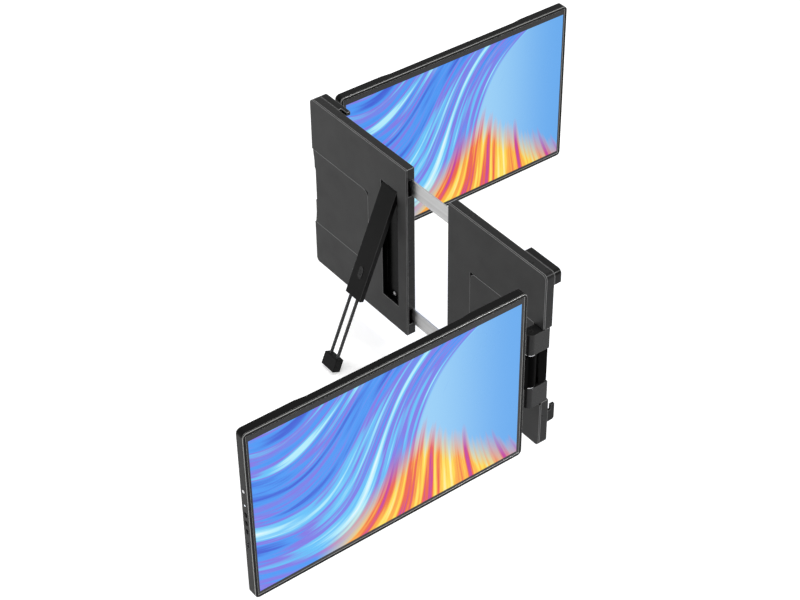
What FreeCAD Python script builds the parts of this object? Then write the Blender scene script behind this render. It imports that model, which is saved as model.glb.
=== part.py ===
import FreeCAD, Part
import Sketcher
import os
import re

doc = FreeCAD.newDocument("screen_extender")
sheet = doc.addObject("Spreadsheet::Sheet", "dims")

# Driving sizes in millimetres and degrees. The mount is measured from its left outer end, its rear face
# and its bottom edge; the model's origin is the middle of the left half's inner lid pad.
SIZES = {
    "mount_height": 215, "mount_thick": 11, "left_width": 167.5, "right_width": 147, "gap_open": 68.5,
    "cover_thick": 1.8, "wall": 1.8, "seam": 0.15, "end_round": 5, "corner_round": 8, "past": 1,
    "plate_low": 54.5, "plate_high": 151.5, "left_plate_width": 101, "right_plate_width": 111.5,
    "barrel_radius": 6.5, "pin_radius": 2.0, "pin_play": 0.05, "right_axis_back": 9.8, "left_axis_front": 4.2,
    "knuckle_length": 25, "knuckle_low": 57.5, "knuckle_setback": 2.5, "washer_thick": 1.0, "end_play": 0.3,
    "washer_step": 0.5,
    "arm_length": 40, "arm_reach": 13.9, "arm_thick": 2.5, "arm_gap": 0.15, "tongue_length": 34,
    "hinge_well": 14, "bracket_thick": 2, "bracket_width": 62, "bracket_inset": 4, "neck_inset": 3,
    "screen_length": 315, "screen_height": 204, "screen_thick": 10.4, "screen_behind_axis": 1.5,
    "screen_corner": 5, "screen_wall": 1.6, "frame_thick": 1.8, "frame_rim": 3.6,
    "grip_length": 60, "grip_slope": 12, "grip_depth": 1.4, "glass_thick": 1.1, "glass_play": 0.2,
    "glass_sink": 0.1, "panel_thick": 2.6, "panel_inset": 1,
    "port_height": 71, "port_length": 9.4, "port_width": 3.6, "port_wall": 3, "socket_depth": 7.5,
    "socket_sink": 0.4, "socket_play": 0.1, "socket_wall": 0.4, "socket_back": 1,
    "key_length": 4.6, "key_width": 3, "key_above_port": 18, "key_pitch": 10.4, "key_depth": 2.6,
    "key_play": 0.15, "key_proud": 0.5, "light_above_key": 11.8, "light_radius": 1.0, "light_depth": 1.8,
    "power_above_light": 17.4, "power_radius": 1.7,
    "board_length": 92, "board_width": 24, "board_thick": 1.2, "board_low": 60, "board_gap": 1,
    "rail_height": 19, "rail_thick": 1.5, "rail_edge": 14.5, "rail_front_gap": 0.3, "rail_left_end": 82,
    "rail_fixed": 76, "rail_play": 0.25, "rail_head": 2.7, "rail_head_step": 1.2, "guide_length": 26,
    "guide_wall": 2, "guide_end": 2, "slot_front": 0.5, "slot_back": 4.5,
    "well_left": 125.5, "well_width": 26.2, "well_low": 32, "well_high": 180, "well_depth": 6.2,
    "well_skin": 0.8,
    "leg_width": 24.6, "leg_thick": 5.8, "leg_length": 128, "leg_head": 3.4, "leg_axis_low": 3.6,
    "leg_open": 23,
    "leg_play": 0.3, "leg_round": 0.8, "leg_pin_radius": 1.2, "leg_pin_play": 0.05,
    "rod_radius": 1.8, "rod_spread": 5.8, "rod_out": 72, "rod_inside": 42, "rod_play": 0.08, "rod_stop": 14,
    "foot_width": 21, "foot_length": 15, "foot_thick": 10, "foot_sink": 6, "foot_bevel": 3,
    "foot_shoulder": 2,
    "button_at": 99, "button_radius": 3.6, "button_long": 3.2, "button_depth": 2.2, "button_travel": 1.0,
    "button_play": 0.2, "button_proud": 0.6,
    "hook_length": 44, "claw_length": 46.4, "hook_proud": 8.7, "hook_height": 15, "hook_round": 5,
    "claw_solid": 36.5, "claw_height": 4.6, "claw_thick": 5,
    "lip_low": 27, "lip_high": 47.4, "lip_notch": 41.2, "lip_gap": 3.8, "lip_thick": 4.6, "lip_width": 14,
    "lip_bevel": 2, "lip_round": 1.2,
    "pad_sink": 0.6, "pad_width": 12, "pad_length": 60, "pad_inset": 30,
    "screw_radius": 1.4, "screw_play": 0.1, "screw_head": 0.9, "catch_radius": 2.4, "catch_thick": 1.2,
}
for row, (alias, value) in enumerate(SIZES.items(), 1):
    sheet.set("A%d" % row, alias)
    sheet.set("B%d" % row, str(value))
    sheet.setAlias("B%d" % row, alias)
doc.recompute()


def ex(text):
    """A formula of named sizes as an expression on the sheet."""
    return re.sub(r"[a-z][a-z_]+", lambda word: "dims." + word.group(0), str(text))


def val(text):
    """The present value of the same formula, for the few shapes made with code."""
    return formula_value(str(text))


def formula_value(text):
    total = 0.0
    for sign, term in re.findall(r"([+-]?)\s*([^+-]+)", text):
        amount = 1.0
        for step, factor in re.findall(r"([*/]?)\s*([A-Za-z_]+|[0-9.]+)", term):
            number = float(sheet.get(factor)) if factor[0].isalpha() else float(factor)
            amount = amount / number if step == "/" else amount * number
        total += -amount if sign == "-" else amount
    return total


# A frame is where a group of pieces is measured from, as three formulas.
MOUNT = ("- left_width + pad_inset + pad_width / 2", "- mount_thick - pad_sink", "- mount_height / 2")
FREE = ("", "", "")
END = "left_width + gap_open + right_width"
RIGHT = "left_width + gap_open"


def seat(shape, at, frame=MOUNT):
    for letter, place, shift in zip("xyz", at, frame):
        shape.setExpression("Placement.Base." + letter, ex("%s %s" % (place, shift)))
    return shape


def box(at, size, frame=MOUNT):
    block = doc.addObject("Part::Box", "block")
    for name, amount in zip(("Length", "Width", "Height"), size):
        block.setExpression(name, ex(amount))
    return seat(block, at, frame)


TURNS = {"Z": (0, 0, 1, 0), "X": (0, 1, 0, 90), "Y": (1, 0, 0, -90)}


def rod(at, radius, length, along="Z", frame=MOUNT):
    bar = doc.addObject("Part::Cylinder", "bar")
    turn = TURNS[along]
    bar.Placement.Rotation = FreeCAD.Rotation(FreeCAD.Vector(*turn[:3]), turn[3])
    bar.setExpression("Radius", ex(radius))
    bar.setExpression("Height", ex(length))
    return seat(bar, at, frame)


def fuse(*shapes):
    joined = doc.addObject("Part::MultiFuse", "joined")
    joined.Shapes = list(shapes)
    return joined


def cut(base, *tools):
    result = doc.addObject("Part::Cut", "trimmed")
    result.Base = base
    result.Tool = tools[0] if len(tools) == 1 else fuse(*tools)
    return result


def group(*shapes):
    together = doc.addObject("Part::Compound", "group")
    together.Links = list(shapes)
    return together


PLANES = {"XY": "XY_Plane", "XZ": "XZ_Plane", "YZ": "YZ_Plane"}


def profile(points, depth, plane="XY", at=("0", "0", "0"), frame=MOUNT, round_at=(), radius=None):
    """A closed outline of named places, padded square to its plane, with chosen corners rounded."""
    body = doc.addObject("PartDesign::Body", "body")
    sketch = body.newObject("Sketcher::SketchObject", "outline")
    origin = [part for part in body.Origin.OriginFeatures if part.Role == PLANES[plane]][0]
    sketch.AttachmentSupport = [(origin, "")]
    sketch.MapMode = "FlatFace"
    spots = [FreeCAD.Vector(val(u), val(v), 0) for u, v in points]
    count = len(spots)
    for index in range(count):
        sketch.addGeometry(Part.LineSegment(spots[index], spots[(index + 1) % count]), False)
    for index in range(count):
        sketch.addConstraint(Sketcher.Constraint("Coincident", index, 2, (index + 1) % count, 1))
    for index, (u, v) in enumerate(points):
        for kind, amount in (("DistanceX", u), ("DistanceY", v)):
            number = sketch.addConstraint(Sketcher.Constraint(kind, -1, 1, index, 1, val(amount)))
            sketch.setExpression("Constraints[%d]" % number, ex(amount))
    pad = body.newObject("PartDesign::Pad", "pad")
    pad.Profile = sketch
    pad.setExpression("Length", ex(depth))
    if plane == "XZ":
        pad.Reversed = True
    doc.recompute()
    if radius:
        corner = body.newObject("PartDesign::Fillet", "rounded")
        corner.Base = (pad, side_edges(pad, plane, [spots[index] for index in round_at]))
        corner.setExpression("Radius", ex(radius))
        doc.recompute()
    return seat(body, at, frame)


def side_edges(pad, plane, spots):
    """The names of the pad's edges that run square to the plane through the chosen corners."""
    names = []
    for number, edge in enumerate(pad.Shape.Edges, 1):
        low = edge.BoundBox
        size = {"XY": (low.XLength, low.YLength), "XZ": (low.XLength, low.ZLength),
                "YZ": (low.YLength, low.ZLength)}
        place = {"XY": (low.XMin, low.YMin), "XZ": (low.XMin, low.ZMin), "YZ": (low.YMin, low.ZMin)}
        if max(size[plane]) > 0.001:
            continue
        for spot in spots:
            if abs(place[plane][0] - spot.x) < 0.01 and abs(place[plane][1] - spot.y) < 0.01:
                names.append("Edge%d" % number)
    return names


NODES = []


def node(label, shape):
    shape.Label = label
    NODES.append(shape)
    return shape


def mirror_end(side, x, width):
    """A place measured inwards from the outer end of the left (-1) or right (+1) half."""
    return x if side < 0 else "%s - (%s) - (%s)" % (END, x, width)


KNUCKLES = ("knuckle_low", "knuckle_low + knuckle_length + arm_length + 2 * washer_thick + 4 * end_play / 2")
HINGE_TOP = KNUCKLES[1] + " + knuckle_length"
RAILS = ("rail_edge", "mount_height - rail_edge - rail_height")
RAIL_BACK = "mount_thick - wall - rail_front_gap - rail_thick"


def casing_half(side):
    """The front shell, rear cover and hinge plate of one half, with their openings."""
    name = "left" if side < 0 else "right"
    start = "0" if side < 0 else RIGHT
    width = name + "_width"
    plate_width = name + "_plate_width"
    inner = "left_width - wall - past" if side < 0 else RIGHT + " - past"
    outer = [("0", "0"), (width, "0"), (width, "mount_height"), ("0", "mount_height")]
    bottom_corner, top_corner = (0, 3) if side < 0 else (1, 2)
    block = profile(outer, "mount_thick - cover_thick", "XZ", (start, "cover_thick", "0"),
                    round_at=[bottom_corner, top_corner], radius="end_round")
    hollow = box((start + " + wall", "cover_thick - past", "wall"),
                 (width + " - 2 * wall", "mount_thick - cover_thick - wall + past",
                  "mount_height - 2 * wall"))
    notch = box((mirror_end(side, "0 - past", "hinge_well + past"), "0 - past", "knuckle_low - end_play"),
                ("hinge_well + past", "mount_thick + 2 * past", HINGE_TOP + " - knuckle_low + 2 * end_play"))
    slots = [box((inner, RAIL_BACK + " - slot_back", low + " - slot_front"),
                 ("wall + 2 * past", "rail_thick + slot_back + rail_front_gap", "rail_height + 2 * slot_front"))
             for low in RAILS]
    # The wall behind the hinge notch closes the cavity beside the knuckles.
    web = box((mirror_end(side, "hinge_well", "wall"), "cover_thick", "knuckle_low - wall"),
              ("wall", "mount_thick - cover_thick - wall / 2", HINGE_TOP + " - knuckle_low + 2 * wall"))
    shell = fuse(cut(block, hollow, notch, *slots), web)
    node(name + "_front_shell", shell)

    cover = profile(outer, "cover_thick", "XZ", (start, "0", "0"),
                    round_at=[bottom_corner, top_corner], radius="end_round")
    window = box((mirror_end(side, "0 - past", plate_width + " + past"), "0 - past", "plate_low"),
                 (plate_width + " + past", "cover_thick + 2 * past", "plate_high - plate_low"))
    openings = [window]
    if side < 0:
        openings.append(box(("well_left - well_skin - seam", "0 - past", "well_low - well_skin - seam"),
                            ("well_width + 2 * well_skin + 2 * seam", "cover_thick + 2 * past",
                             "well_high - well_low + 2 * well_skin + 2 * seam")))
    node(name + "_rear_cover", cut(cover, *openings))

    long = plate_width + " - hinge_well - 2 * seam"
    tall = "plate_high - plate_low - 2 * seam"
    plate_start = mirror_end(side, "hinge_well + seam", long)
    inner_corners = [1, 2] if side < 0 else [0, 3]
    plate = profile([("0", "0"), (long, "0"), (long, tall), ("0", tall)], "cover_thick", "XZ",
                    (plate_start, "0", "plate_low + seam"), round_at=inner_corners, radius="corner_round")
    node(name + "_hinge_plate", plate)


def hinge_axis(side):
    """Where the pin of one half stands in plan."""
    axis_x = mirror_end(side, "barrel_radius", "0")
    axis_y = "mount_thick + left_axis_front" if side < 0 else "0 - right_axis_back"
    return axis_x, axis_y


def hinge_bracket(side):
    """The bracket with its two knuckles, the pin through them and the friction washers."""
    name = "left" if side < 0 else "right"
    axis_x, axis_y = hinge_axis(side)
    block_x = mirror_end(side, "0", "2 * barrel_radius")
    pieces = []
    for low in KNUCKLES:
        pieces.append(rod((axis_x, axis_y, low), "barrel_radius", "knuckle_length"))
        if side < 0:
            span = ("cover_thick + bracket_thick / 4",
                    "mount_thick + left_axis_front - cover_thick - bracket_thick / 4")
        else:
            span = (axis_y, "right_axis_back + mount_thick - knuckle_setback")
        pieces.append(box((block_x, span[0], low), ("2 * barrel_radius", span[1], "knuckle_length")))
        neck_long = "hinge_well + wall + bracket_thick - 2 * barrel_radius + past"
        neck_x = mirror_end(side, "2 * barrel_radius - past", neck_long)
        pieces.append(box((neck_x, "cover_thick + end_play", low + " + neck_inset"),
                          (neck_long, "bracket_thick",
                           "knuckle_length - 2 * neck_inset")))
    flange_x = mirror_end(side, "hinge_well + wall + seam", "bracket_width")
    flange = box((flange_x, "cover_thick + end_play", "knuckle_low + bracket_inset"),
                 ("bracket_width", "bracket_thick", HINGE_TOP + " - knuckle_low - 2 * bracket_inset"))
    holes = [rod((mirror_end(side, "hinge_well + wall + %s * bracket_width / 4" % step, "0"), "0", spot),
                 "screw_radius + screw_play", "mount_thick", "Y")
             for step in ("1", "3") for spot in [low + " + knuckle_length / 2" for low in KNUCKLES]]
    bore = rod((axis_x, axis_y, "knuckle_low - past"), "pin_radius + pin_play",
               HINGE_TOP + " - knuckle_low + 2 * past")
    node(name + "_hinge_bracket", cut(fuse(flange, *pieces), bore, *holes))
    pin = rod((axis_x, axis_y, "knuckle_low"), "pin_radius", HINGE_TOP + " - knuckle_low")
    node(name + "_hinge_pin", pin)
    washers = []
    for low in ("knuckle_low + knuckle_length + end_play / 2",
                KNUCKLES[1] + " - end_play / 2 - washer_thick"):
        washers.append(cut(rod((axis_x, axis_y, low), "barrel_radius - washer_step", "washer_thick"),
                           rod((axis_x, axis_y, low + " - past"), "pin_radius + pin_play",
                               "washer_thick + 2 * past")))
    node(name + "_hinge_washers", group(*washers))


for side in (-1, 1):
    casing_half(side)
    hinge_bracket(side)


# The notches for the necks of the brackets in the web are left by the web itself being cut round them.
for label, side in (("left_front_shell", -1), ("right_front_shell", 1)):
    shell = [piece for piece in NODES if piece.Label == label][0]
    NODES.remove(shell)
    shell.Label = label + "_blank"
    necks = [box((mirror_end(side, "hinge_well - past", "wall + 2 * past"), "cover_thick - past",
                  low + " + neck_inset - end_play"),
                 ("wall + 2 * past", "past + 2 * end_play + bracket_thick",
                  "knuckle_length - 2 * neck_inset + 2 * end_play"))
             for low in KNUCKLES]
    node(label, cut(shell, *necks))


# The two flat steel rails, fixed in the right half and sliding in the left one, and their guides.
RAIL_LENGTH = "left_width - rail_left_end + gap_open + rail_fixed"
for name, low in zip(("lower", "upper"), RAILS):
    rail = box(("rail_left_end", RAIL_BACK, low), (RAIL_LENGTH, "rail_thick", "rail_height"))
    holes = [rod((RIGHT + " + rail_fixed * %s / 4" % step, "0", low + " + rail_height / 2"),
                 "screw_radius + screw_play", "mount_thick", "Y") for step in ("1", "3")]
    head = box(("rail_left_end", RAIL_BACK, low + " - rail_head_step"),
               ("rail_head", "rail_thick", "rail_height + 2 * rail_head_step"))
    node(name + "_rail", cut(fuse(rail, head), *holes))
    start = "well_left - well_skin - guide_end - guide_length"
    body_box = box((start, RAIL_BACK + " - guide_wall / 2 - rail_play", low + " - guide_wall"),
                   ("guide_length", "guide_wall / 2 + rail_play + rail_thick + rail_front_gap",
                    "rail_height + 2 * guide_wall"))
    channel = box((start + " - past", RAIL_BACK + " - rail_play", low + " - rail_play"),
                  ("guide_length + 2 * past", "rail_thick + rail_front_gap + 3 * past",
                       "rail_height + 2 * rail_play"))
    guides = [cut(body_box, channel)]
    if name == "lower":
        lower_guides = guides
    else:
        node("rail_guides", group(*lower_guides, *guides))

# Screws that hold the rails in the right half and the brackets in both halves.
rail_screws = []
for low in RAILS:
    for step in ("1", "3"):
        x = RIGHT + " + rail_fixed * %s / 4" % step
        z = low + " + rail_height / 2"
        head = rod((x, RAIL_BACK + " - screw_head", z), "2 * screw_radius", "screw_head", "Y")
        shank = rod((x, RAIL_BACK + " - screw_head", z), "screw_radius",
                    "screw_head + rail_thick + rail_front_gap", "Y")
        rail_screws.append(fuse(head, shank))
node("rail_screws", group(*rail_screws))

# The well for the folded stand: a thin moulded tray let into the left rear cover.
WELL_TALL = "well_high - well_low"
tray = cut(box(("well_left - well_skin", "0", "well_low - well_skin"),
               ("well_width + 2 * well_skin", "well_depth + well_skin", WELL_TALL + " + 2 * well_skin")),
           box(("well_left", "0 - past", "well_low"), ("well_width", "well_depth + past", WELL_TALL)))
pin_x = "well_left + well_width / 2"
axis_z = "well_high - leg_head - leg_play"
node("stand_well", cut(tray, rod(("well_left - 2 * past", "leg_axis_low", axis_z),
                                 "leg_pin_radius + leg_pin_play", "well_width + 4 * past", "X")))
node("stand_pin", rod(("well_left - well_skin", "leg_axis_low", axis_z), "leg_pin_radius",
                      "well_width + 2 * well_skin", "X"))
node("stand_catch", rod((pin_x, "well_depth - catch_thick", "well_low + 2 * catch_radius"), "catch_radius",
                        "catch_thick", "Y"))

# The leg is modelled hanging straight down from its own axis, then opened to its angle.
AXIS = (pin_x, "leg_axis_low", axis_z)


def opened(label, shape):
    """Turn a leg piece about the stand's pin and put the pin in its place."""
    holder = doc.addObject("Part::Compound", "holder")
    holder.Links = [shape]
    holder.Placement.Rotation = FreeCAD.Rotation(FreeCAD.Vector(1, 0, 0), -float(sheet.get("leg_open")))
    holder.setExpression("Placement.Rotation.Angle", ex("leg_open"))
    holder.setExpression("Placement.Rotation.Axis.x", "-1")
    seat(holder, AXIS, MOUNT)
    return node(label, holder)


ROD_Y = "leg_thick / 2 - leg_axis_low"
leg_bar = profile([("0", "0 - leg_length"), ("leg_thick", "0 - leg_length"), ("leg_thick", "0.12 * leg_head"),
                   ("leg_axis_low + 0.24 * leg_head", "0.65 * leg_head"),
                   ("leg_axis_low - 0.3 * leg_head", "0.94 * leg_head"),
                   ("leg_axis_low - 0.7 * leg_head", "0.7 * leg_head"), ("0", "0")],
                  "leg_width", "YZ", ("0 - leg_width / 2", "0 - leg_axis_low", "0"), FREE,
                  round_at=[0, 1], radius="leg_round")
bores = [rod((sign + "rod_spread", ROD_Y, "0 - leg_length - past"), "rod_radius + rod_play",
             "leg_length - rod_stop + past", frame=FREE) for sign in ("", "0 - ")]
pin_hole = rod(("0 - leg_width / 2 - past", "0", "0"), "leg_pin_radius + leg_pin_play",
               "leg_width + 2 * past", "X", FREE)


def oval(radius, depth, back):
    """A rounded slot shape across the leg's rear face, long along the leg."""
    ends = [rod(("0", back, "0 - button_at %s button_long" % sign), radius, depth, "Y", FREE)
            for sign in "+-"]
    middle = box(("0 - (%s)" % radius, back, "0 - button_at - button_long"),
                 ("2 * (%s)" % radius, depth, "2 * button_long"), FREE)
    return fuse(middle, *ends)


button_well = oval("button_radius + button_play", "button_depth + button_travel + past",
                   "0 - leg_axis_low - past")
opened("stand_leg", cut(leg_bar, pin_hole, button_well, *bores))
opened("stand_button", oval("button_radius", "button_depth + button_proud - button_play",
                            "0 - leg_axis_low - button_proud"))
OUT_LOW = "0 - leg_length - rod_out"
rods = [rod((sign + "rod_spread", ROD_Y, OUT_LOW + " - foot_sink"), "rod_radius",
            "rod_out + rod_inside + foot_sink", frame=FREE) for sign in ("", "0 - ")]
cross = box(("0 - rod_spread", ROD_Y + " - rod_radius / 2", OUT_LOW + " - foot_sink"),
            ("2 * rod_spread", "rod_radius", "rod_radius * 2"), FREE)
opened("stand_rods", fuse(cross, *rods))
foot_outer = profile([("foot_bevel - foot_width / 2", "0 - foot_length"),
                      ("foot_width / 2 - foot_bevel", "0 - foot_length"),
                      ("foot_width / 2", "foot_bevel - foot_length"), ("foot_width / 2", "0 - foot_shoulder"),
                      ("foot_width / 2 - foot_shoulder", "0"), ("foot_shoulder - foot_width / 2", "0"),
                      ("0 - foot_width / 2", "0 - foot_shoulder"),
                      ("0 - foot_width / 2", "foot_bevel - foot_length")],
                     "foot_thick", "XZ", ("0", ROD_Y + " - foot_thick / 2", OUT_LOW), FREE)
foot_sockets = [rod((sign + "rod_spread", ROD_Y, OUT_LOW + " - foot_sink"), "rod_radius",
                    "foot_sink + past", frame=FREE) for sign in ("", "0 - ")]
foot_sockets.append(box(("0 - rod_spread", ROD_Y + " - rod_radius / 2", OUT_LOW + " - foot_sink"),
                        ("2 * rod_spread", "rod_radius", "rod_radius * 2"), FREE))
opened("stand_foot", cut(foot_outer, *foot_sockets))


def top_hook(side):
    """The block at the top of an outer end that reaches over the lid's top edge."""
    long = "claw_length" if side < 0 else "hook_length"
    outline = [("0", "0"), (long, "0"), (long, "hook_height"), ("0", "hook_height")]
    block = profile(outline, "hook_proud", "XZ",
                    (mirror_end(side, "0", long), "mount_thick", "mount_height - hook_height"),
                    round_at=[3 if side < 0 else 2], radius="hook_round")
    if side < 0:
        slot = box(("claw_solid", "mount_thick - past", "mount_height - hook_height - past"),
                   ("claw_length", "hook_proud - claw_thick + past", "hook_height + 2 * past"))
        under = box(("claw_solid", "mount_thick - past", "mount_height - hook_height - past"),
                    ("claw_length", "hook_proud + 2 * past", "hook_height - claw_height + past"))
        block = cut(block, slot, under)
    return block


def lower_hook(side):
    """The J-shaped hook low on an outer end, open at its top."""
    far = "lip_gap + lip_thick"
    outline = [("0", "0"), ("0", "lip_notch - lip_low"), ("lip_gap", "lip_notch - lip_low"),
               ("lip_gap", "lip_high - lip_low"), (far, "lip_high - lip_low - lip_bevel"),
               (far, "2 * lip_bevel"),
               ("lip_gap", "0")]
    return profile(outline, "lip_width", "YZ", (mirror_end(side, "0", "lip_width"), "mount_thick", "lip_low"),
                   round_at=[4], radius="lip_round")


for side, name in ((-1, "left"), (1, "right")):
    node(name + "_top_hook", top_hook(side))
    node(name + "_lower_hook", lower_hook(side))

# Soft pads on the front faces, where the laptop's lid rests.
for side, name in ((-1, "left"), (1, "right")):
    start = "left_width - pad_inset - pad_width" if side < 0 else RIGHT + " + pad_inset"
    strip = box((start, "mount_thick", "mount_height / 2 - pad_length"),
                ("pad_width", "pad_sink", "2 * pad_length"))
    other = box((mirror_end(side, "pad_inset", "pad_width"), "mount_thick", "mount_height / 2 + pad_inset"),
                ("pad_width", "pad_sink", "2 * pad_length / 3"))
    node(name + "_lid_pads", group(strip, other))


def screen(side):
    """One display unit. It runs from its hinge edge out along Y, and its display faces +X."""
    name = "far" if side < 0 else "near"
    axis_x, axis_y = hinge_axis(side)
    back = axis_x + " - screen_behind_axis"
    edge = axis_y + (" + arm_reach" if side < 0 else " - arm_reach - screen_length")
    low = "mount_height / 2 - screen_height / 2"

    def span(start, length):
        """Where a stretch starts along Y, given its distance from the hinge edge."""
        return edge + " + " + start if side < 0 else edge + " + screen_length - (%s) - (%s)" % (start, length)

    def block(t, s, z, thick, long, tall):
        """A box placed by its distance from the back, from the hinge edge and from the lower edge."""
        return box((back + " + " + t, span(s, long), low + " + " + z), (thick, long, tall))

    def slab(thick, place):
        """The whole outline with its four rounded corners."""
        corners = [("0", "0"), ("screen_length", "0"), ("screen_length", "screen_height"),
                   ("0", "screen_height")]
        return profile(corners, thick, "YZ", place, round_at=[0, 1, 2, 3], radius="screen_corner")

    # The back cover: a tray, thinner between two grips, open at the front, with its ports and key holes.
    body_thick = "screen_thick - frame_thick"
    waist = profile([("0", "0"), ("grip_depth", "grip_slope"),
                     ("grip_depth", "screen_length - 2 * grip_length - grip_slope"),
                     ("0", "screen_length - 2 * grip_length")], "screen_height + 2 * past", "XY",
                    (back, edge + " + grip_length", low + " - past"))
    cavity = block("screen_wall + grip_depth", "screen_wall", "screen_wall", "screen_thick",
                   "screen_length - 2 * screen_wall", "screen_height - 2 * screen_wall")
    front_off = block(body_thick, "0 - past", "0 - past", "screen_thick", "screen_length + 2 * past",
                      "screen_height + 2 * past")
    mid = "grip_depth + screen_wall + port_width / 2"
    free = "screen_length - port_wall"
    through = "port_wall + past"
    # Heights of the sockets and keys are measured from the mount's bottom edge.
    down = " - mount_height / 2 + screen_height / 2"
    port_spot = "port_height" + down
    key_spots = ["port_height + key_above_port + %d * key_pitch" % step + down for step in range(3)]
    light_spot = "port_height + key_above_port + 2 * key_pitch + light_above_key" + down
    power_spot = light_spot + " + power_above_light"
    openings = [block(mid + " - port_width / 2", free, port_spot + " - port_length / 2",
                      "port_width", through, "port_length")]
    for spot in key_spots:
        openings.append(block(mid + " - key_width / 2 - key_play", free,
                              spot + " - key_length / 2 - key_play",
                              "key_width + 2 * key_play", through, "key_length + 2 * key_play"))
    for spot, radius in ((power_spot, "power_radius + key_play"), (light_spot, "light_radius")):
        openings.append(rod((back + " + " + mid, span(free, through), low + " + " + spot), radius,
                            through, "Y"))
    arm_z = "knuckle_low + knuckle_length + washer_thick + end_play" + down
    arm_slot = block("screen_wall + grip_depth", "0 - past", arm_z + " - arm_gap", "arm_thick + 2 * arm_gap",
                     "screen_wall + 2 * past", "arm_length + 2 * arm_gap")
    rounded = slab("screen_thick", (back, edge, low))
    node(name + "_back_cover", cut(rounded, waist, cavity, front_off, arm_slot, *openings))

    window = block(body_thick + " - past", "frame_rim", "frame_rim", "screen_thick",
                   "screen_length - 2 * frame_rim", "screen_height - 2 * frame_rim")
    node(name + "_front_frame", cut(slab("frame_thick", (back + " + " + body_thick, edge, low)), window))
    glass_back = "screen_thick - glass_sink - glass_thick"
    node(name + "_glass", block(glass_back, "frame_rim + glass_play", "frame_rim + glass_play", "glass_thick",
                                "screen_length - 2 * frame_rim - 2 * glass_play",
                                "screen_height - 2 * frame_rim - 2 * glass_play"))
    node(name + "_lcd_module", block(glass_back + " - panel_thick", "frame_rim + panel_inset",
                                     "frame_rim + panel_inset", "panel_thick",
                                     "screen_length - 2 * frame_rim - 2 * panel_inset",
                                     "screen_height - 2 * frame_rim - 2 * panel_inset"))

    # The board behind the free edge carries the socket, which stands in a notch of it.
    board = block("grip_depth + screen_wall + socket_play",
                  "screen_length - screen_wall - board_width - key_depth - board_gap", "board_low" + down,
                  "board_thick", "board_width", "board_length")
    notch = block("grip_depth", "screen_length - socket_sink - 2 * socket_play - socket_depth",
                  port_spot + " - port_length / 2", "screen_thick", "socket_depth + 2 * past", "port_length")
    node(name + "_main_board", cut(board, notch))
    shell = block(mid + " - port_width / 2 + socket_play", "screen_length - socket_sink - socket_depth",
                  port_spot + " - port_length / 2 + socket_play", "port_width - 2 * socket_play",
                  "socket_depth", "port_length - 2 * socket_play")
    mouth = block(mid + " - port_width / 2 + socket_play + socket_wall",
                  "screen_length - socket_depth + socket_back",
                  port_spot + " - port_length / 2 + socket_play + socket_wall",
                  "port_width - 2 * socket_play - 2 * socket_wall", "socket_depth",
                  "port_length - 2 * socket_play - 2 * socket_wall")
    node(name + "_usb_socket", cut(shell, mouth))
    key_start = "screen_length + key_proud - key_depth"
    for number, spot in enumerate(key_spots, 1):
        key = block(mid + " - key_width / 2", key_start, spot + " - key_length / 2",
                    "key_width", "key_depth", "key_length")
        node("%s_key_%d" % (name, number), key)
    power = rod((back + " + " + mid, span(key_start, "key_depth"), low + " + " + power_spot),
                "power_radius", "key_depth", "Y")
    node(name + "_power_key", power)
    light_start = span("screen_length - light_depth", "light_depth")
    light = rod((back + " + " + mid, light_start, low + " + " + light_spot), "light_radius", "light_depth", "Y")
    node(name + "_status_light", light)

    # The arm that turns on the pin: a barrel between the washers and a tongue into the back cover.
    barrel = rod((axis_x, axis_y, low + " + " + arm_z), "barrel_radius", "arm_length")
    reach = "arm_reach + tongue_length"
    tongue_y = axis_y if side < 0 else axis_y + " - (%s)" % reach
    tongue = box((back + " + screen_wall + grip_depth + arm_gap", tongue_y, low + " + " + arm_z),
                 ("arm_thick", reach, "arm_length"))
    bore = rod((axis_x, axis_y, low + " + " + arm_z + " - past"), "pin_radius + pin_play",
               "arm_length + 2 * past")
    node(name + "_hinge_arm", cut(fuse(barrel, tongue), bore))


for side in (-1, 1):
    screen(side)

doc.recompute()
bad = [piece.Label for piece in doc.Objects if "Invalid" in piece.State or "Error" in piece.State]
for piece in NODES:
    if piece.Shape.isNull() or not piece.Shape.isValid() or not piece.Shape.Solids:
        bad.append(piece.Label)
if bad:
    raise RuntimeError("not built: %s" % ", ".join(bad))
os.makedirs("parts", exist_ok=True)
for piece in NODES:
    piece.Shape.exportStep("parts/%s.step" % piece.Label)
    size = piece.Shape.BoundBox
    print("%-18s x %.1f..%.1f  y %.1f..%.1f  z %.1f..%.1f" % (
        piece.Label, size.XMin, size.XMax, size.YMin, size.YMax, size.ZMin, size.ZMax))
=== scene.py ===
import bpy
import bmesh
import math
from mathutils import Matrix, Vector


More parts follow.
